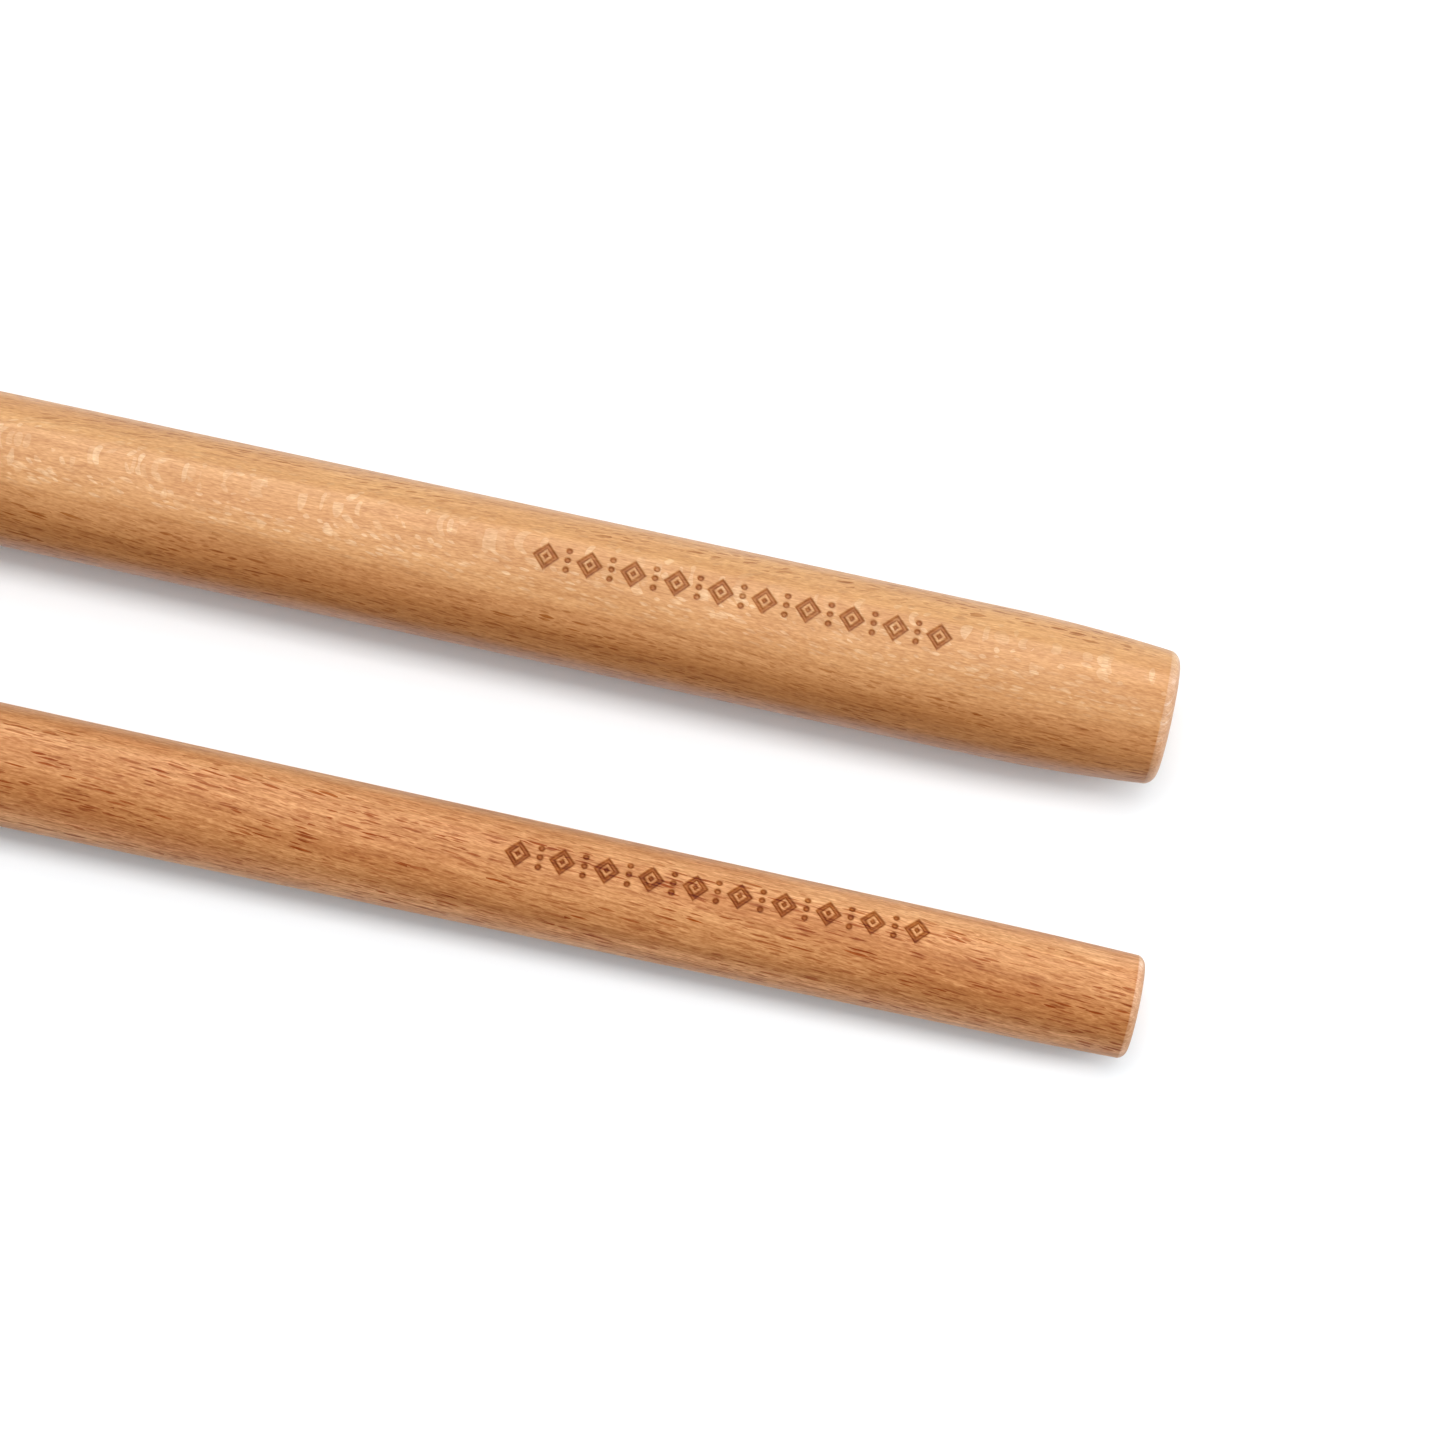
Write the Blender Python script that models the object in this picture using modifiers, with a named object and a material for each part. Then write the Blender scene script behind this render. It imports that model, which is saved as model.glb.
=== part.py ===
"""A pair of claves: two solid beech sticks, each turned from one piece of wood.

The thick stick is a plain cylinder that draws in along a short curve at both
ends. The thin stick tapers gently from its butt (-X) to its tip (+X). They lie
side by side along X on the plane z = 0, the thick one at +Y. The origin is the
middle of the pair, on that plane. Metres, +Z up.
"""

import math

import bmesh
import bpy

# ---- Driving dimensions -------------------------------------------------
MM = 0.001

LENGTH = 254.0 * MM  # each stick, end face to end face
AXIS_SPACING = 48.6 * MM  # between the two axes, in plan
TIP_STAGGER = 5.1 * MM  # how far the thin stick's tip stands past the thick one's

THICK_DIAMETER = 25.4 * MM
THICK_EASE = 29.5 * MM  # length of the curve that draws each end in
THICK_DROP = 1.5 * MM  # how much the radius falls over that curve
THICK_EDGE = 2.5 * MM  # radius of the rounded edge at each end

THIN_TIP_DIAMETER = 18.2 * MM  # of the straight cone, carried to the tip
THIN_TAPER = 0.00582  # fall of the radius per unit of length
THIN_CONE = 188.0 * MM  # the straight cone's length, measured from the tip
THIN_LEVEL = 50.0 * MM  # length over which the taper dies out towards the butt
THIN_EASE = 27.5 * MM
THIN_DROP = 0.30 * MM
THIN_EDGE = 1.8 * MM

EDGE_BREAK = math.radians(14.0)  # turn of the surface where a rounded edge begins

SIDES = 48  # flats round each stick, one of them face down
EASE_STEPS = 6  # profile segments in each drawn-in end
EDGE_STEPS = 5  # profile segments in each rounded edge
LEVEL_STEPS = 3  # profile segments where the thin stick's taper dies out

PALE_BEECH = (0.70, 0.42, 0.20, 1.0)
WARM_BEECH = (0.58, 0.29, 0.13, 1.0)

# The flats touch the true round from outside, so that a stick is exactly its
# diameter across any two opposite flats and lies with its lowest flat at z = 0.
FLATS_OUT = 1.0 / math.cos(math.pi / SIDES)


# ---- Profiles -----------------------------------------------------------
def thick_body(from_tip):
    """Radius of the thick stick before its ends are drawn in."""
    return THICK_DIAMETER / 2.0


def thin_body(from_tip):
    """Radius of the thin stick: a straight cone that levels off at the butt."""
    cone = min(from_tip, THIN_CONE)
    past = min(max(from_tip - THIN_CONE, 0.0), THIN_LEVEL)
    levelling = past - past * past / (2.0 * THIN_LEVEL)
    return THIN_TIP_DIAMETER / 2.0 + THIN_TAPER * (cone + levelling)


def side_radius(body, from_tip, ease, drop):
    """Radius of the side, with both ends drawn in along a parabola."""
    near = min(from_tip, LENGTH - from_tip)
    inside = max(1.0 - near / ease, 0.0)
    return body(from_tip) - drop * inside * inside


def rounded_edge(body, ease, drop, edge, at_tip):
    """(radius, distance from the tip) down one rounded edge, from side to face."""

    def radius(near):
        return side_radius(body, near if at_tip else LENGTH - near, ease, drop)

    step = 1.0e-5
    lean = math.atan((radius(edge + step) - radius(edge - step)) / (2.0 * step))
    start = lean + EDGE_BREAK
    near_side = edge * (1.0 - math.sin(start))
    centre = radius(near_side) - edge * math.cos(start)
    points = []
    for i in range(EDGE_STEPS + 1):
        angle = start + (math.pi / 2.0 - start) * i / EDGE_STEPS
        near = edge - edge * math.sin(angle)
        points.append(
            (centre + edge * math.cos(angle), near if at_tip else LENGTH - near)
        )
    return points, near_side


def stick_profile(body, straight, ease, drop, edge):
    """(radius, height) down the outer side, from the tip face to the butt face.

    The side is straight from the end of the tip's curve to the distance
    straight, so each flat is one long face there, which the stick lies on.
    """
    tip, tip_side = rounded_edge(body, ease, drop, edge, True)
    butt, butt_side = rounded_edge(body, ease, drop, edge, False)
    stations = [
        tip_side + (ease - tip_side) * i / EASE_STEPS for i in range(1, EASE_STEPS + 1)
    ]
    last = LENGTH - ease
    stations.append(min(straight, last))
    if straight < last:
        stations += [
            straight + (last - straight) * i / LEVEL_STEPS
            for i in range(1, LEVEL_STEPS + 1)
        ]
    stations += [
        last + (LENGTH - butt_side - last) * i / EASE_STEPS
        for i in range(1, EASE_STEPS)
    ]
    side = [(side_radius(body, t, ease, drop), t) for t in stations]
    line = [(0.0, 0.0), *reversed(tip), *side, *butt, (0.0, LENGTH)]
    return [(radius * FLATS_OUT, LENGTH / 2.0 - t) for radius, t in line]


# ---- Building -----------------------------------------------------------
def clear_scene():
    for obj in list(bpy.data.objects):
        bpy.data.objects.remove(obj, do_unlink=True)


def wood(name, colour, roughness):
    material = bpy.data.materials.new(name)
    material.use_nodes = True
    shader = material.node_tree.nodes["Principled BSDF"]
    shader.inputs["Base Color"].default_value = colour
    shader.inputs["Roughness"].default_value = roughness
    shader.inputs["Metallic"].default_value = 0.0
    material.diffuse_color = colour
    return material


def turned(name, profile, material, collection):
    """A solid of revolution about its own Z, as a profile with a Screw modifier."""
    shape = bmesh.new()
    last = None
    for radius, height in profile:
        point = shape.verts.new((radius, 0.0, height))
        if last is not None:
            shape.edges.new((last, point))
        last = point
    mesh = bpy.data.meshes.new(name)
    shape.to_mesh(mesh)
    shape.free()
    mesh.materials.append(material)

    obj = bpy.data.objects.new(name, mesh)
    collection.objects.link(obj)
    screw = obj.modifiers.new("turn", "SCREW")
    screw.axis = "Z"
    screw.angle = 2.0 * math.pi
    screw.steps = SIDES
    screw.render_steps = SIDES
    screw.use_merge_vertices = True
    screw.merge_threshold = 0.00001
    screw.use_smooth_shade = True
    return obj


def lay_down(obj, x, y, z, lean):
    """Lays a stick along X, a flat face down, its tip leaning down by `lean`."""
    obj.rotation_mode = "ZYX"
    obj.rotation_euler = (0.0, math.pi / 2.0 + lean, math.pi / SIDES)
    obj.location = (x, y, z)


def build():
    clear_scene()
    claves = bpy.data.collections.new("claves")
    bpy.context.scene.collection.children.link(claves)

    thick = turned(
        "thick_clave",
        stick_profile(
            thick_body, LENGTH - THICK_EASE, THICK_EASE, THICK_DROP, THICK_EDGE
        ),
        wood("pale_beech", PALE_BEECH, 0.38),
        claves,
    )
    thin = turned(
        "thin_clave",
        stick_profile(thin_body, THIN_CONE, THIN_EASE, THIN_DROP, THIN_EDGE),
        wood("warm_beech", WARM_BEECH, 0.42),
        claves,
    )

    # The pair is centred on the origin in plan.
    thick_radius = THICK_DIAMETER / 2.0
    thin_radius = max(
        side_radius(thin_body, LENGTH * i / 254.0, THIN_EASE, THIN_DROP)
        for i in range(255)
    )
    middle = (thin_radius - thick_radius) / 2.0
    lay_down(
        thick, -TIP_STAGGER / 2.0, middle + AXIS_SPACING / 2.0, thick_radius, 0.0
    )

    # The cone lies on the plane along its lowest line, so its axis leans.
    lean = math.atan(THIN_TAPER)
    axis_height = thin_body(LENGTH / 2.0) * math.cos(lean)
    lay_down(thin, TIP_STAGGER / 2.0, middle - AXIS_SPACING / 2.0, axis_height, lean)


build()
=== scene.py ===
import math

import bpy
import numpy as np
from mathutils import Matrix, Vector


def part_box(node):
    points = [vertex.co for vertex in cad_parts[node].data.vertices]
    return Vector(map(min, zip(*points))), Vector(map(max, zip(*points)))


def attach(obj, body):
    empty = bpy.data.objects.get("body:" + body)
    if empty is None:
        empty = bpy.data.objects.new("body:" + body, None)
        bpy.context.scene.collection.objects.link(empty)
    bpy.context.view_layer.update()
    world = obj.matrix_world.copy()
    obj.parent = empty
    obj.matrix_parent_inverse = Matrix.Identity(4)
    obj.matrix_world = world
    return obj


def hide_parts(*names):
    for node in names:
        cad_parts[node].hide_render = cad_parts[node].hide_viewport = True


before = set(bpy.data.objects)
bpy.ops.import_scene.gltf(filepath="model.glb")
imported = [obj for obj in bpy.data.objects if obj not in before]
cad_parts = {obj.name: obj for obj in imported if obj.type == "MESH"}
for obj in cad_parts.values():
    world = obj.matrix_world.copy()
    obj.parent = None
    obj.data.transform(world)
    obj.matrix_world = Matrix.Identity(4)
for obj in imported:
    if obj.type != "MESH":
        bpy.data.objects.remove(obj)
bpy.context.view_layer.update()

MM = 0.001

# =========================================================================
# The camera comes first. It looks straight down from about a metre, and the
# sticks run 12 degrees clockwise of level in the picture.
# =========================================================================
camera_data = bpy.data.cameras.new("camera")
camera_data.lens = 154.1
camera_data.sensor_width = 36.0
camera_data.clip_start = 0.01
camera_data.clip_end = 50.0
camera = bpy.data.objects.new("camera", camera_data)
camera.location = (0.0515, 0.0069, 1.05)
camera.rotation_euler = (0.0, 0.0, math.radians(12.13))
bpy.context.scene.collection.objects.link(camera)
bpy.context.scene.camera = camera

# =========================================================================
# Shape of the two sticks. The same turned profiles as the CAD solids, in
# millimetres, taken as true rounds. Places come from the CAD boxes.
# =========================================================================
LENGTH = 254.0
EDGE_BREAK = math.radians(14.0)  # turn of the surface where a rounded edge begins


def box_mm(node):
    low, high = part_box(node)
    return np.array(low) / MM, np.array(high) / MM


THICK_LOW, THICK_HIGH = box_mm("thick_clave")
THIN_LOW, THIN_HIGH = box_mm("thin_clave")


def thick_body(u):
    return np.full_like(u, (THICK_HIGH[2] - THICK_LOW[2]) / 2.0)


def thin_body(u):
    cone = np.minimum(u, 188.0)
    past = np.clip(u - 188.0, 0.0, 50.0)
    return 9.1 + 0.00582 * (cone + past - past * past / 100.0)


def side_radius(stick, u):
    """Radius at distance u from the tip, with both ends drawn in."""
    near = np.minimum(u, LENGTH - u)
    inside = np.maximum(1.0 - near / stick["ease"], 0.0)
    return stick["body"](u) - stick["drop"] * inside * inside


STICKS = {
    "thick": dict(
        node="thick_clave",
        slot="pale_beech",
        body=thick_body,
        ease=29.5,
        drop=1.5,
        edge=2.5,
        lean=0.0,
        # ornament: from and to along the stick, measured as local x, and the
        # arc from the top line to its middle line at those two places
        band=(17.4, 88.4),
        arc=(4.75, 5.5),
    ),
    "thin": dict(
        node="thin_clave",
        slot="warm_beech",
        body=thin_body,
        ease=27.5,
        drop=0.30,
        edge=1.8,
        lean=math.atan(0.00582),
        band=(17.9, 90.2),
        arc=(4.0, 5.7),
    ),
}


# ---- The burnt ornament: a running band of lozenges and dots -------------
BAND_HALF = 2.45  # half its height round the stick
LOZENGES = 10
RECESS = 0.20  # how deep it is burnt in


def lozenge(p, q, half_p, half_q):
    """Signed distance, negative inside, to a lozenge centred on the origin."""
    slope = math.hypot(1.0 / half_p, 1.0 / half_q)
    return (np.abs(p) / half_p + np.abs(q) / half_q - 1.0) / slope


def disc(p, q, radius):
    return np.hypot(p, q) - radius


def ornament_distance(p, q, length):
    """Signed distance to the ornament. p runs along it from its start."""
    pitch = (length - 4.4) / (LOZENGES - 1)
    k = np.clip(np.round((p - 2.2) / pitch), 0, LOZENGES - 1)
    local = p - 2.2 - k * pitch
    outer = lozenge(local, q, 2.2, 2.45)
    hole = lozenge(local, q, 1.18, 1.32)
    ring = np.maximum(outer, -hole)
    core = lozenge(local, q, 0.50, 0.56)
    shape = np.minimum(ring, core)
    j = np.clip(np.round((p - 2.2) / pitch - 0.5), 0, LOZENGES - 2)
    between = p - 2.2 - (j + 0.5) * pitch
    for height in (-1.72, 0.0, 1.72):
        shape = np.minimum(shape, disc(between, q - height, 0.52))
    return shape


def smoothstep(low, high, value):
    t = np.clip((value - low) / (high - low), 0.0, 1.0)
    return t * t * (3.0 - 2.0 * t)


# ---- The mesh ------------------------------------------------------------
def spaced(first, last, step):
    count = max(int(math.ceil(abs(last - first) / step)), 1)
    return np.linspace(first, last, count + 1)


def rounded_edge(stick, at_tip):
    """(u, radius) from the end face out to the side, and where the face ends."""
    edge = stick["edge"]

    def radius(near):
        near = np.atleast_1d(np.asarray(near, float))
        return side_radius(stick, near if at_tip else LENGTH - near)

    lean = math.atan(float((radius(edge + 0.01) - radius(edge - 0.01))[0]) / 0.02)
    begin = lean + EDGE_BREAK
    near_side = edge * (1.0 - math.sin(begin))
    centre = float(radius(near_side)[0]) - edge * math.cos(begin)
    angle = np.linspace(math.pi / 2.0, begin, 15)
    near = edge - edge * np.sin(angle)
    return near, centre + edge * np.cos(angle), centre, near_side


def lengthwise(stick):
    """(x, radius) rows from the middle of the tip face to that of the butt face."""
    near, ring, face, side = rounded_edge(stick, True)
    face_rings = spaced(0.0, face, 0.8)[1:-1]
    tip_u = np.concatenate([np.zeros(len(face_rings)), near])
    tip_r = np.concatenate([face_rings, ring])
    near2, ring2, face2, side2 = rounded_edge(stick, False)
    face_rings2 = spaced(0.0, face2, 0.8)[1:-1]
    butt_u = LENGTH - np.concatenate([np.zeros(len(face_rings2)), near2])[::-1]
    butt_r = np.concatenate([face_rings2, ring2])[::-1]
    start = LENGTH / 2.0 - stick["band"][1] - 0.6
    stop = LENGTH / 2.0 - stick["band"][0] + 0.6
    middle = np.concatenate(
        [
            [side + 0.07],
            spaced(side, start, 1.15)[1:-1],
            spaced(start, stop, 0.165),
            spaced(stop, LENGTH - side2, 1.15)[1:-1],
            [LENGTH - side2 - 0.07],
        ]
    )
    u = np.concatenate([tip_u, middle, butt_u])
    r = np.concatenate([tip_r, side_radius(stick, middle), butt_r])
    return LENGTH / 2.0 - u, r


def roundwise(stick):
    """Angles round the stick from its top line towards +Y, finer at the ornament."""
    mean = float(side_radius(stick, np.array([LENGTH / 2.0 - 50.0]))[0])
    low = (min(stick["arc"]) - BAND_HALF - 0.5) / mean
    high = (max(stick["arc"]) + BAND_HALF + 0.5) / mean
    fine = spaced(low, high, 0.165 / mean)
    rest = spaced(high, low + 2.0 * math.pi, 1.05 / mean)[1:-1]
    return np.concatenate([fine, rest])


def stick_object(name, stick):
    x, r = lengthwise(stick)
    phi = roundwise(stick)
    rows, around = len(x), len(phi)
    X = np.repeat(x[:, None], around, 1)
    R = np.repeat(r[:, None], around, 1)
    PHI = np.repeat(phi[None, :], rows, 0)

    # the ornament, pressed in towards the axis
    start, stop = stick["band"]
    share = (X - start) / (stop - start)
    line = stick["arc"][0] + (stick["arc"][1] - stick["arc"][0]) * share
    q = R * PHI - line
    distance = ornament_distance(X - start, q, stop - start)
    outside = (X < start - 0.5) | (X > stop + 0.5) | (np.abs(q) > BAND_HALF + 0.45)
    distance = np.where(outside, 9.0, distance)
    pressed = 1.0 - smoothstep(-0.16, 0.08, distance)
    burnt = 1.0 - smoothstep(-0.06, 0.10, distance)
    rim = np.exp(-(((distance + 0.11) / 0.19) ** 2))
    R = R - RECESS * pressed

    verts = np.stack([X, R * np.sin(PHI), R * np.cos(PHI)], -1).reshape(-1, 3)
    verts = np.concatenate(
        [verts, [[LENGTH / 2.0, 0.0, 0.0], [-LENGTH / 2.0, 0.0, 0.0]]]
    )
    i, j = np.meshgrid(np.arange(rows - 1), np.arange(around), indexing="ij")
    k = (j + 1) % around
    quads = np.stack(
        [i * around + j, i * around + k, (i + 1) * around + k, (i + 1) * around + j], -1
    ).reshape(-1, 4)
    j = np.arange(around)
    k = (j + 1) % around
    tip = np.stack([np.full(around, rows * around), k, j], -1)
    last = (rows - 1) * around
    butt = np.stack([np.full(around, rows * around + 1), last + j, last + k], -1)

    mesh = bpy.data.meshes.new(name)
    mesh.from_pydata(
        (verts * MM).tolist(), [], quads.tolist() + tip.tolist() + butt.tolist()
    )
    for attribute, values in (("burnt", burnt), ("scorched_rim", rim)):
        layer = mesh.attributes.new(attribute, "FLOAT", "POINT")
        data = np.concatenate([values.reshape(-1), [0.0, 0.0]]).astype(np.float32)
        layer.data.foreach_set("value", data)
    mesh.validate()
    mesh.update()
    mesh.shade_smooth()

    mesh.transform(stick_place(stick))

    obj = bpy.data.objects.new(name, mesh)
    bpy.context.scene.collection.objects.link(obj)
    return obj


def stick_middle(stick):
    """The middle of the stick's axis, in metres."""
    low, high = box_mm(stick["node"])
    height = float(stick["body"](np.array([LENGTH / 2.0]))[0]) * math.cos(stick["lean"])
    return ((low[0] + high[0]) / 2.0 * MM, (low[1] + high[1]) / 2.0 * MM, height * MM)


def stick_place(stick):
    """Takes the stick from its own axes, tip along +X, to where it lies."""
    return Matrix.Translation(stick_middle(stick)) @ Matrix.Rotation(
        stick["lean"], 4, "Y"
    )


# =========================================================================
# Beech, as a solid: every pattern is a function of the place inside the
# wood, so that flecks on the sides and rings on the ends belong together.
# =========================================================================
class Nodes:
    """A short way to write shader nodes. Numbers and sockets can be mixed."""

    def __init__(self, material):
        material.use_nodes = True
        self.tree = material.node_tree
        self.tree.nodes.clear()

    def node(self, kind, **settings):
        made = self.tree.nodes.new(kind)
        for key, value in settings.items():
            setattr(made, key, value)
        return made

    def put(self, socket, value):
        if isinstance(value, bpy.types.NodeSocket):
            self.tree.links.new(value, socket)
        else:
            socket.default_value = value

    def math(self, operation, a, b=0.0, c=0.0, clamp=False):
        made = self.node("ShaderNodeMath", operation=operation, use_clamp=clamp)
        for socket, value in zip(made.inputs, (a, b, c)):
            self.put(socket, value)
        return made.outputs[0]

    def add(self, a, b):
        return self.math("ADD", a, b)

    def mul(self, a, b):
        return self.math("MULTIPLY", a, b)

    def ramp(self, value, low, high, to_low=0.0, to_high=1.0, smooth=True):
        made = self.node("ShaderNodeMapRange")
        made.interpolation_type = "SMOOTHSTEP" if smooth else "LINEAR"
        made.clamp = True
        for socket, v in zip(made.inputs[:5], (value, low, high, to_low, to_high)):
            self.put(socket, v)
        return made.outputs[0]

    def vector(self, x, y, z):
        made = self.node("ShaderNodeCombineXYZ")
        for socket, value in zip(made.inputs, (x, y, z)):
            self.put(socket, value)
        return made.outputs[0]

    def noise(self, vector, scale=1.0, detail=2.0, roughness=0.5, distortion=0.0):
        made = self.node("ShaderNodeTexNoise", noise_dimensions="3D")
        self.put(made.inputs["Vector"], vector)
        made.inputs["Scale"].default_value = scale
        made.inputs["Detail"].default_value = detail
        made.inputs["Roughness"].default_value = roughness
        made.inputs["Distortion"].default_value = distortion
        return made.outputs[0]

    def mix(self, factor, a, b, blend="MIX"):
        made = self.node("ShaderNodeMix", data_type="RGBA", blend_type=blend)
        made.clamp_factor = True
        self.put(made.inputs[0], factor)
        self.put(made.inputs[6], a)
        self.put(made.inputs[7], b)
        return made.outputs[2]


def tint(base, factor):
    return tuple(b * f for b, f in zip(base, factor)) + (1.0,)


def beech(name, stick, look):
    material = bpy.data.materials.new(name)
    n = Nodes(material)
    base = look["base"]

    # place in the wood, in millimetres from the stick's middle; x runs along the grain
    place = n.node("ShaderNodeMapping", vector_type="TEXTURE")
    n.put(place.inputs["Vector"], n.node("ShaderNodeTexCoord").outputs["Object"])
    place.inputs["Location"].default_value = stick_middle(stick)
    place.inputs["Rotation"].default_value = (0.0, stick["lean"], 0.0)
    place.inputs["Scale"].default_value = (MM, MM, MM)
    split = n.node("ShaderNodeSeparateXYZ")
    n.tree.links.new(place.outputs[0], split.inputs[0])
    x, y, z = split.outputs

    # the direction out from the pith, and the one round it
    c, s = math.cos(look["pith"]), math.sin(look["pith"])
    out = n.add(n.mul(y, s), n.mul(z, c))
    across = n.add(n.mul(y, c), n.mul(z, -s))
    # how squarely this side of the stick faces the pith: 1 where the rays
    # meet the surface end on, 0 where they run along it
    reach = n.math("SQRT", n.add(n.mul(y, y), n.mul(z, z)))
    reach = n.math("MAXIMUM", reach, 0.5)
    flat_sawn = n.math("ABSOLUTE", n.math("DIVIDE", out, reach))
    on_end = n.ramp(n.math("ABSOLUTE", x), 126.0, 126.85)
    near_end = n.ramp(n.math("ABSOLUTE", x), 104.0, 124.0)
    # the grain wanders a little along the stick
    slow = n.noise(n.vector(n.mul(x, 0.011), look["seed"], 0.0), detail=1.0)
    slow2 = n.noise(n.vector(n.mul(x, 0.016), look["seed"] + 7.0, 3.0), detail=1.0)
    out = n.add(out, n.mul(n.math("SUBTRACT", slow, 0.5), look["wander"]))
    across = n.add(across, n.mul(n.math("SUBTRACT", slow2, 0.5), look["wander"]))
    across = n.add(across, n.mul(x, look["slope"]))
    deep = n.add(out, look["pith_distance"])
    radius = n.math("SQRT", n.add(n.mul(deep, deep), n.mul(across, across)))
    turn = n.mul(n.math("ARCTAN2", across, deep), look["pith_distance"])
    wobble = n.noise(n.vector(n.mul(x, 0.22), n.mul(turn, 0.7), n.mul(radius, 0.2)), detail=1.0)
    wavy = n.add(turn, n.mul(n.math("SUBTRACT", wobble, 0.5), 0.35))

    # growth rings
    ring_wave = n.noise(
        n.vector(n.mul(x, 0.01), n.mul(turn, 0.05), n.mul(radius, 0.3)), detail=2.0
    )
    ring = n.add(n.mul(radius, 1.0 / look["ring"]), n.mul(ring_wave, 1.2))
    phase = n.math("FRACT", ring)
    late = n.mul(n.ramp(phase, 0.35, 0.92), n.ramp(phase, 0.93, 1.0, 1.0, 0.0))

    # fibres: short fine streaks, longer soft ones, and broad bands
    fibre = n.noise(
        n.vector(n.mul(x, 0.13), n.mul(wavy, 2.7), n.mul(radius, 2.7)), detail=2.5, roughness=0.6
    )
    fine = n.noise(
        n.vector(n.mul(x, 0.85), n.mul(wavy, 4.2), n.mul(radius, 4.2)), detail=1.5
    )
    streak = n.noise(
        n.vector(n.mul(x, 0.045), n.mul(wavy, 1.05), n.mul(radius, 1.05)), detail=2.0
    )
    band = n.noise(
        n.vector(n.mul(x, 0.011), n.mul(turn, 0.24), n.mul(radius, 0.24)), detail=1.5
    )
    cloud = n.noise(
        n.vector(n.mul(x, 0.035), n.mul(turn, 0.16), n.mul(radius, 0.16)), detail=2.0
    )

    def rays(cell, share, half_long, half_wide, shift):
        """Lens-shaped ends of the rays, one to a cell. Each ray is a thin
        plate that runs out from the pith. Sizes are in millimetres."""
        where = n.vector(
            n.add(n.mul(x, 1.0 / cell[0]), shift),
            n.add(n.mul(wavy, 1.0 / cell[1]), shift),
            n.mul(radius, 1.0 / cell[2]),
        )
        made = n.node(
            "ShaderNodeTexVoronoi",
            voronoi_dimensions="3D",
            feature="F1",
            distance="EUCLIDEAN",
        )
        n.put(made.inputs["Vector"], where)
        made.inputs["Scale"].default_value = 1.0
        made.inputs["Randomness"].default_value = 0.85
        offset = n.node("ShaderNodeVectorMath", operation="SUBTRACT")
        n.put(offset.inputs[0], where)
        n.tree.links.new(made.outputs["Position"], offset.inputs[1])
        parts = n.node("ShaderNodeSeparateXYZ")
        n.tree.links.new(offset.outputs[0], parts.inputs[0])
        chance = n.node("ShaderNodeSeparateColor")
        n.tree.links.new(made.outputs["Color"], chance.inputs[0])
        one, two, three = chance.outputs
        strength = n.ramp(three, 1.0 - share, 1.0, 0.0, 1.0, smooth=False)
        strength = n.add(n.mul(n.math("POWER", strength, 0.9), 0.62), 0.38)
        long = n.ramp(one, 0.0, 1.0, half_long[0], half_long[1], smooth=False)
        long = n.mul(long, n.add(n.mul(strength, 0.45), 0.55))
        wide = n.ramp(two, 0.0, 1.0, half_wide[0], half_wide[1], smooth=False)
        u = n.math("DIVIDE", n.mul(parts.outputs[0], cell[0]), long)
        v = n.math("DIVIDE", n.math("ABSOLUTE", n.mul(parts.outputs[1], cell[1])), wide)
        inside = n.math("SUBTRACT", 1.0, n.add(n.mul(u, u), v))
        shape = n.ramp(inside, -0.06, 0.18)
        there = n.math("GREATER_THAN", three, 1.0 - share)
        return n.mul(n.mul(shape, there), strength)

    large = rays(look["cell"], look["share"], look["long"], look["wide"], 0.0)
    second = rays(
        tuple(v * 0.83 for v in look["cell"]),
        look["share"],
        tuple(v * 0.8 for v in look["long"]),
        tuple(v * 0.85 for v in look["wide"]),
        17.3,
    )
    large = n.math("MAXIMUM", large, second)
    small = rays((2.6, 0.58, 7.0), 0.62, (0.55, 1.35), (0.06, 0.13), 5.1)
    ray_and_glint_blot = rays((5.2, 1.9, 2.6), 0.50, (0.55, 1.60), (0.22, 0.55), 31.7)
    # rays come in drifts
    drift = n.noise(
        n.vector(n.mul(x, 0.07), n.mul(turn, 0.30), n.mul(radius, 0.05)), detail=1.0
    )
    large = n.mul(large, n.ramp(drift, 0.34, 0.60, look["thin_out"], 1.0))

    # pores, seen as points on the end faces
    pore = n.node("ShaderNodeTexVoronoi", voronoi_dimensions="3D", feature="F1")
    n.put(
        pore.inputs["Vector"],
        n.vector(n.mul(x, 0.15), n.mul(turn, 5.0), n.mul(radius, 5.0)),
    )
    pore.inputs["Scale"].default_value = 1.0
    pore = n.ramp(pore.outputs["Distance"], 0.12, 0.34, 1.0, 0.0)

    # ---- colour ----
    colour = n.mix(
        n.ramp(band, 0.34, 0.66), tint(base, look["band_dark"]), tint(base, look["band_light"])
    )
    colour = n.mix(n.mul(n.ramp(cloud, 0.44, 0.70), look["red_share"]), colour, tint(base, look["red"]))
    colour = n.mix(n.mul(late, look["late_share"]), colour, tint(base, look["late"]))
    low, high = 1.0 - look["fibre"], 1.0 + look["fibre"]
    tone = n.ramp(fibre, 0.28, 0.72, low, high, smooth=False)
    low, high = 1.0 - look["streak"], 1.0 + look["streak"]
    tone = n.mul(tone, n.ramp(streak, 0.32, 0.68, low, high, smooth=False))
    low, high = 1.0 - look["fine"], 1.0 + look["fine"]
    tone = n.mul(tone, n.ramp(fine, 0.30, 0.70, low, high, smooth=False))
    deeper = n.mul(tone, tone)
    colour = n.mix(1.0, colour, n.vector(tone, n.mul(tone, n.math("SQRT", tone)), deeper), "MULTIPLY")
    # the end faces soak up more lacquer and look a little darker
    colour = n.mix(n.mul(on_end, 0.60), colour, tint(base, look["end"]))
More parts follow.
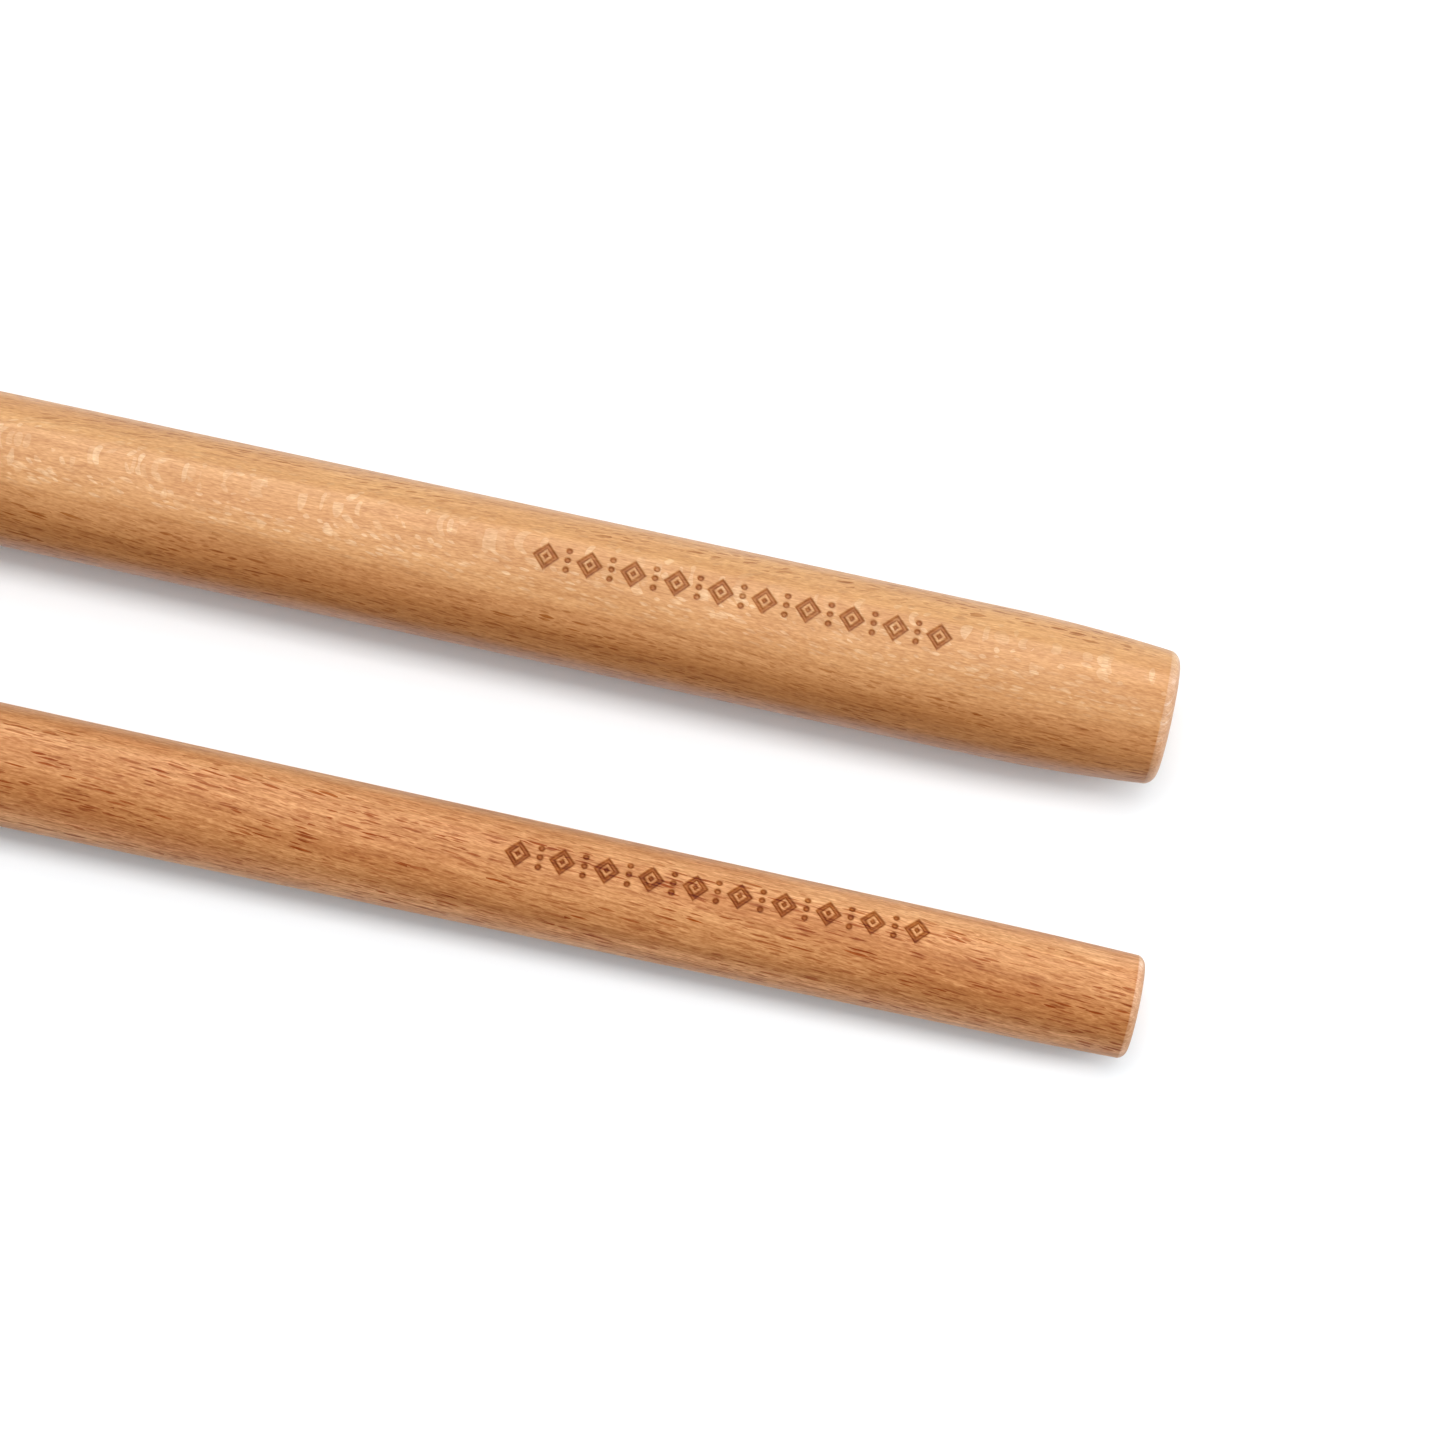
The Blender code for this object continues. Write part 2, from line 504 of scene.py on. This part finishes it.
    # rays look dark end on, and pale where they run along the surface; the pale flecks are partly
    # painted glints of the lacquer
    side = n.math("SUBTRACT", 1.0, on_end)
    edge = stick["edge"] * (1.0 - math.sin(EDGE_BREAK))
    on_edge = n.ramp(n.math("ABSOLUTE", x), 127.0 - edge - 0.12, 127.0 - edge + 0.12)
    dark_rays = n.mul(n.ramp(flat_sawn, look["turning"][0], look["turning"][1]), side)
    brown = n.mix(1.0, colour, look["flat_sawn"], "MULTIPLY")
    colour = n.mix(dark_rays, colour, brown)
    # painted light and shade across the stick, set by height in y: lighter on the side towards the
    # lamps, darker lower down, and a paler, greyer band along the lower edge painted as the floor's
    # reflection
    for start, stop, tone_there in look["across"]:
        if start > stop:
            share = n.ramp(n.mul(y, -1.0), -start, -stop)
        else:
            share = n.ramp(y, start, stop)
        there = n.mix(1.0, colour, tone_there, "MULTIPLY")
        colour = n.mix(n.mul(share, side), colour, there)
    # fewer dark rays show where the rounded edges carry their painted reflection
    dark_rays = n.mul(dark_rays, n.math("SUBTRACT", 1.0, n.mul(on_edge, 0.7)))
    dark = n.mix(1.0, colour, look["ray"], "MULTIPLY")
    colour = n.mix(n.mul(small, n.mul(dark_rays, look["small_dark"])), colour, dark)
    colour = n.mix(n.mul(large, n.mul(dark_rays, look["large_dark"])), colour, dark)
    # pale flecks: partly the pale rays and partly painted glints of the lacquer
    pale_rays = n.math("SUBTRACT", 1.0, dark_rays)
    pale = n.mix(1.0, colour, look["fleck_and_glint"], "MULTIPLY")
    colour = n.mix(n.mul(large, n.mul(pale_rays, look["large_pale"])), colour, pale)
    colour = n.mix(n.mul(small, n.mul(pale_rays, look["small_pale"])), colour, pale)
    # pale blots on the quarter-sawn sides: painted glints of the lacquer, also standing for pale rays
    # there
    quarter = n.mul(n.ramp(flat_sawn, 0.12, 0.50, 1.0, 0.0), side)
    colour = n.mix(n.mul(ray_and_glint_blot, n.mul(quarter, look["ray_and_glint_blots"])), colour, pale)
    colour = n.mix(n.mul(pore, n.mul(on_end, 0.50)), colour, tint(base, (0.45, 0.33, 0.25)))

    # ---- painted reflection: the rounded end edges are painted paler and greyer, standing for the bright room they reflect
    colour = n.mix(on_edge, colour, n.mix(1.0, colour, look["edge_reflection_tint"], "MULTIPLY"))

    # ---- the burnt ornament: scorched outlines, lighter inside with the grain showing
    burnt = n.node("ShaderNodeAttribute", attribute_name="burnt").outputs["Fac"]
    rim = n.node("ShaderNodeAttribute", attribute_name="scorched_rim").outputs["Fac"]
    mottle = n.noise(n.vector(n.mul(x, 0.8), n.mul(y, 1.3), n.mul(z, 1.3)), detail=3.0)
    charred = n.mix(1.0, colour, look["burn"], "MULTIPLY")
    colour = n.mix(n.mul(burnt, n.ramp(mottle, 0.28, 0.66, 0.80, 1.0)), colour, charred)
    scorched = n.mix(1.0, colour, look["scorch"], "MULTIPLY")
    colour = n.mix(n.mul(rim, n.ramp(mottle, 0.25, 0.60, 0.65, 1.0)), colour, scorched)

    # ---- gloss ----
    patchy = n.noise(n.vector(n.mul(x, 0.12), n.mul(y, 0.3), n.mul(z, 0.3)), detail=2.0)
    gloss = n.ramp(
        patchy, 0.3, 0.7, look["rough"] - 0.05, look["rough"] + 0.07, smooth=False
    )
    gloss = n.add(gloss, n.mul(large, 0.05))
    gloss = n.add(gloss, n.mul(burnt, 0.22))
    gloss = n.add(gloss, n.mul(on_end, 0.08))

    # ---- the surface: uneven lacquer over the grain, heights in millimetres
    lacquer = n.noise(
        n.vector(n.mul(x, 0.30), n.mul(y, 0.62), n.mul(z, 0.62)), detail=1.0, roughness=0.45
    )
    ripple = n.noise(
        n.vector(n.mul(x, 0.55), n.mul(y, 1.35), n.mul(z, 1.35)), detail=1.5, roughness=0.5
    )
    uneven = n.add(1.0, n.mul(near_end, 0.8))
    height = n.mul(n.mul(lacquer, look["lacquer"]), uneven)
    height = n.add(height, n.mul(n.mul(ripple, look["ripple"]), uneven))
    height = n.add(height, n.mul(fibre, look["grain"]))
    height = n.add(height, n.mul(large, -0.010))
    height = n.add(height, n.mul(small, -0.004))
    height = n.add(height, n.mul(n.mul(pore, on_end), -0.012))
    bump = n.node("ShaderNodeBump")
    bump.inputs["Strength"].default_value = 1.0
    bump.inputs["Distance"].default_value = MM
    n.put(bump.inputs["Height"], height)

    shader = n.node("ShaderNodeBsdfPrincipled")
    n.put(shader.inputs["Base Color"], colour)
    n.put(shader.inputs["Roughness"], gloss)
    n.put(shader.inputs["Normal"], bump.outputs[0])
    shader.inputs["Metallic"].default_value = 0.0
    shader.inputs["IOR"].default_value = 1.5
    shader.inputs["Specular IOR Level"].default_value = look["specular"]
    shader.inputs["Coat Weight"].default_value = look["coat"]
    shader.inputs["Coat Roughness"].default_value = look["coat_rough"]
    shader.inputs["Coat IOR"].default_value = 1.5
    output = n.node("ShaderNodeOutputMaterial")
    n.tree.links.new(shader.outputs[0], output.inputs["Surface"])
    return material


LOOKS = {
    "thick": dict(
        seed=3.0,
        base=(0.523, 0.250, 0.0975),
        pith=math.radians(-73.0),
        pith_distance=62.0,
        wander=4.0,
        slope=0.070,
        ring=2.6,
        cell=(5.2, 1.00, 11.0),
        share=0.62,
        long=(1.10, 2.70),
        wide=(0.09, 0.18),
        thin_out=0.35,
        turning=(0.30, 0.70),
        band_light=(1.07, 1.10, 1.14),
        band_dark=(0.95, 0.93, 0.90),
        red=(0.98, 0.88, 0.84),
        red_share=0.30,
        late=(0.86, 0.77, 0.66),
        late_share=0.30,
        fibre=0.095,
        streak=0.045,
        fine=0.125,
        ray_and_glint_blots=0.50,
        flat_sawn=(0.92, 0.83, 0.75, 1.0),
        # painted light and shade by height y across the stick: lighter towards the lamps, darker lower
        # down, paler and greyer along the lower edge as a painted floor reflection
        across=(
            (6.0, 11.0, (1.07, 1.19, 1.14, 1.0)),
            (-4.5, -8.0, (0.90, 0.82, 0.68, 1.0)),
            (-8.5, -11.5, (1.10, 1.18, 1.35, 1.0)),
        ),
        end=(0.86, 0.78, 0.72),
        edge_reflection_tint=(1.05, 1.24, 1.75, 1.0),
        ray=(0.55, 0.33, 0.08, 1.0),
        fleck_and_glint=(1.24, 1.62, 2.30, 1.0),
        small_dark=0.60,
        large_dark=1.0,
        small_pale=0.62,
        large_pale=0.42,
        burn=(0.66, 0.46, 0.27, 1.0),
        scorch=(0.62, 0.46, 0.22, 1.0),
        rough=0.48,
        specular=0.24,
        lacquer=0.040,
        ripple=0.018,
        grain=0.010,
        coat=0.20,
        coat_rough=0.17,
    ),
    "thin": dict(
        seed=21.0,
        base=(0.478, 0.2045, 0.0745),
        pith=math.radians(-8.0),
        pith_distance=75.0,
        wander=3.5,
        slope=0.066,
        ring=2.6,
        cell=(6.2, 1.05, 12.0),
        share=0.72,
        long=(1.35, 3.05),
        wide=(0.105, 0.205),
        thin_out=0.40,
        turning=(0.24, 0.66),
        band_light=(1.10, 1.15, 1.20),
        band_dark=(0.93, 0.88, 0.82),
        red=(0.96, 0.84, 0.80),
        red_share=0.40,
        late=(0.84, 0.74, 0.63),
        late_share=0.35,
        fibre=0.180,
        streak=0.070,
        fine=0.150,
        ray_and_glint_blots=0.15,
        flat_sawn=(0.98, 0.96, 0.94, 1.0),
        # painted light and shade by height y across the stick: lighter towards the lamps, darker lower
        # down and along the top edge, paler and greyer along the lower edge as a painted floor
        # reflection
        across=(
            (0.5, 7.0, (1.18, 1.29, 1.42, 1.0)),
            (5.9, 6.7, (1.07, 1.15, 1.26, 1.0)),
            (7.4, 8.5, (0.91, 0.84, 0.75, 1.0)),
            (8.4, 9.4, (0.87, 0.87, 0.82, 1.0)),
            (0.0, -4.0, (0.93, 0.87, 0.80, 1.0)),
            (-5.6, -7.6, (1.36, 1.50, 1.78, 1.0)),
        ),
        end=(0.84, 0.78, 0.72),
        edge_reflection_tint=(1.10, 1.40, 2.10, 1.0),
        ray=(0.49, 0.19, 0.01, 1.0),
        fleck_and_glint=(1.16, 1.30, 1.50, 1.0),
        small_dark=0.45,
        large_dark=1.0,
        small_pale=0.20,
        large_pale=0.35,
        burn=(0.58, 0.37, 0.16, 1.0),
        scorch=(0.56, 0.38, 0.10, 1.0),
        rough=0.50,
        specular=0.13,
        lacquer=0.022,
        ripple=0.010,
        grain=0.016,
        coat=0.10,
        coat_rough=0.20,
    ),
}

for key, stick in STICKS.items():
    piece = stick_object(key + "_stick", stick)
    piece.data.materials.append(beech(stick["slot"] + "_lacquered", stick, LOOKS[key]))
    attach(piece, stick["node"])
    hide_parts(stick["node"])

# =========================================================================
# Floor and light
# =========================================================================
floor_mesh = bpy.data.meshes.new("floor")
side = 1.1  # half its width, as far as the lights reach evenly
floor_mesh.from_pydata(
    [(-side, -side, 0), (side, -side, 0), (side, side, 0), (-side, side, 0)],
    [],
    [(0, 1, 2, 3)],
)
floor = bpy.data.objects.new("floor", floor_mesh)
bpy.context.scene.collection.objects.link(floor)
floor.location = (0.0, 0.0, -0.00002)
white = bpy.data.materials.new("floor_white")
white.use_nodes = True
paint = white.node_tree.nodes["Principled BSDF"]
paint.inputs["Base Color"].default_value = (0.90, 0.90, 0.90, 1.0)
paint.inputs["Roughness"].default_value = 0.9
paint.inputs["Specular IOR Level"].default_value = 0.2
floor_mesh.materials.append(white)


def area_light(name, place, aim, size, power, colour=(1.0, 1.0, 1.0)):
    data = bpy.data.lights.new(name, "AREA")
    data.shape = "RECTANGLE"
    data.size, data.size_y = size
    data.energy = power
    data.color = colour
    light = bpy.data.objects.new(name, data)
    bpy.context.scene.collection.objects.link(light)
    back = np.array(place, float) - np.array(aim, float)
    back /= np.linalg.norm(back)
    across = np.array((1.0, 0.0, 0.0))
    across -= back * (across @ back)
    across /= np.linalg.norm(across)
    up = np.cross(back, across)
    matrix = Matrix.Identity(4)
    for i, column in enumerate((across, up, back, place)):
        for row in range(3):
            matrix[row][i] = float(column[row])
    light.matrix_world = matrix
    light.visible_camera = False
    return light


def strip(name, low, high, radiance, x_from, x_to, distance=2.2):
    """A long soft box over the sticks, seen from them between the angles low
    and high from straight up towards +Y. Radiance 1 is as bright as a lit white floor."""
    middle = math.radians((low + high) / 2.0)
    width = 2.0 * distance * math.tan(math.radians(high - low) / 2.0)
    long = x_to - x_from
    place = (
        (x_from + x_to) / 2.0,
        distance * math.sin(middle),
        distance * math.cos(middle),
    )
    aim = ((x_from + x_to) / 2.0, 0.0, 0.0)
    return area_light(name, place, aim, (long, width), radiance * math.pi * long * width)


# the key: high and a little behind, soft, kept out of the gloss
key = strip("key", 9.0, 23.0, 5.7, -0.9, 3.6)
key.visible_glossy = False
overhead = strip("overhead", -10.0, 24.0, 1.6, -1.6, 2.4)
overhead.visible_glossy = False
# a wide bank of light behind, which the lacquer shows
strip("bank", 24.0, 56.0, 2.2, -1.9, 0.60)
# a low one behind, only for the sheen along the far edges
low_sheen = strip("low_sheen", 56.0, 79.0, 3.4, -1.9, 0.9)
low_sheen.visible_diffuse = False
# a faint one beyond the tips, for the round edges there
end_fill = area_light(
    "end_fill", (1.5, 0.10, 0.55), (0.12, 0.0, 0.01), (0.9, 1.2), 8.5
)

world = bpy.data.worlds.new("world")
bpy.context.scene.world = world
world.use_nodes = True
background = world.node_tree.nodes["Background"]
background.inputs["Color"].default_value = (0.62, 0.85, 1.0, 1.0)
# the room gives a faint fill, and looks white where the camera sees it
seen = world.node_tree.nodes.new("ShaderNodeLightPath")
level = world.node_tree.nodes.new("ShaderNodeMapRange")
level.inputs["To Min"].default_value = 0.24
level.inputs["To Max"].default_value = 1.7
world.node_tree.links.new(seen.outputs["Is Camera Ray"], level.inputs["Value"])
world.node_tree.links.new(level.outputs["Result"], background.inputs["Strength"])

bpy.context.scene.view_settings.view_transform = "Standard"
bpy.context.scene.view_settings.look = "None"
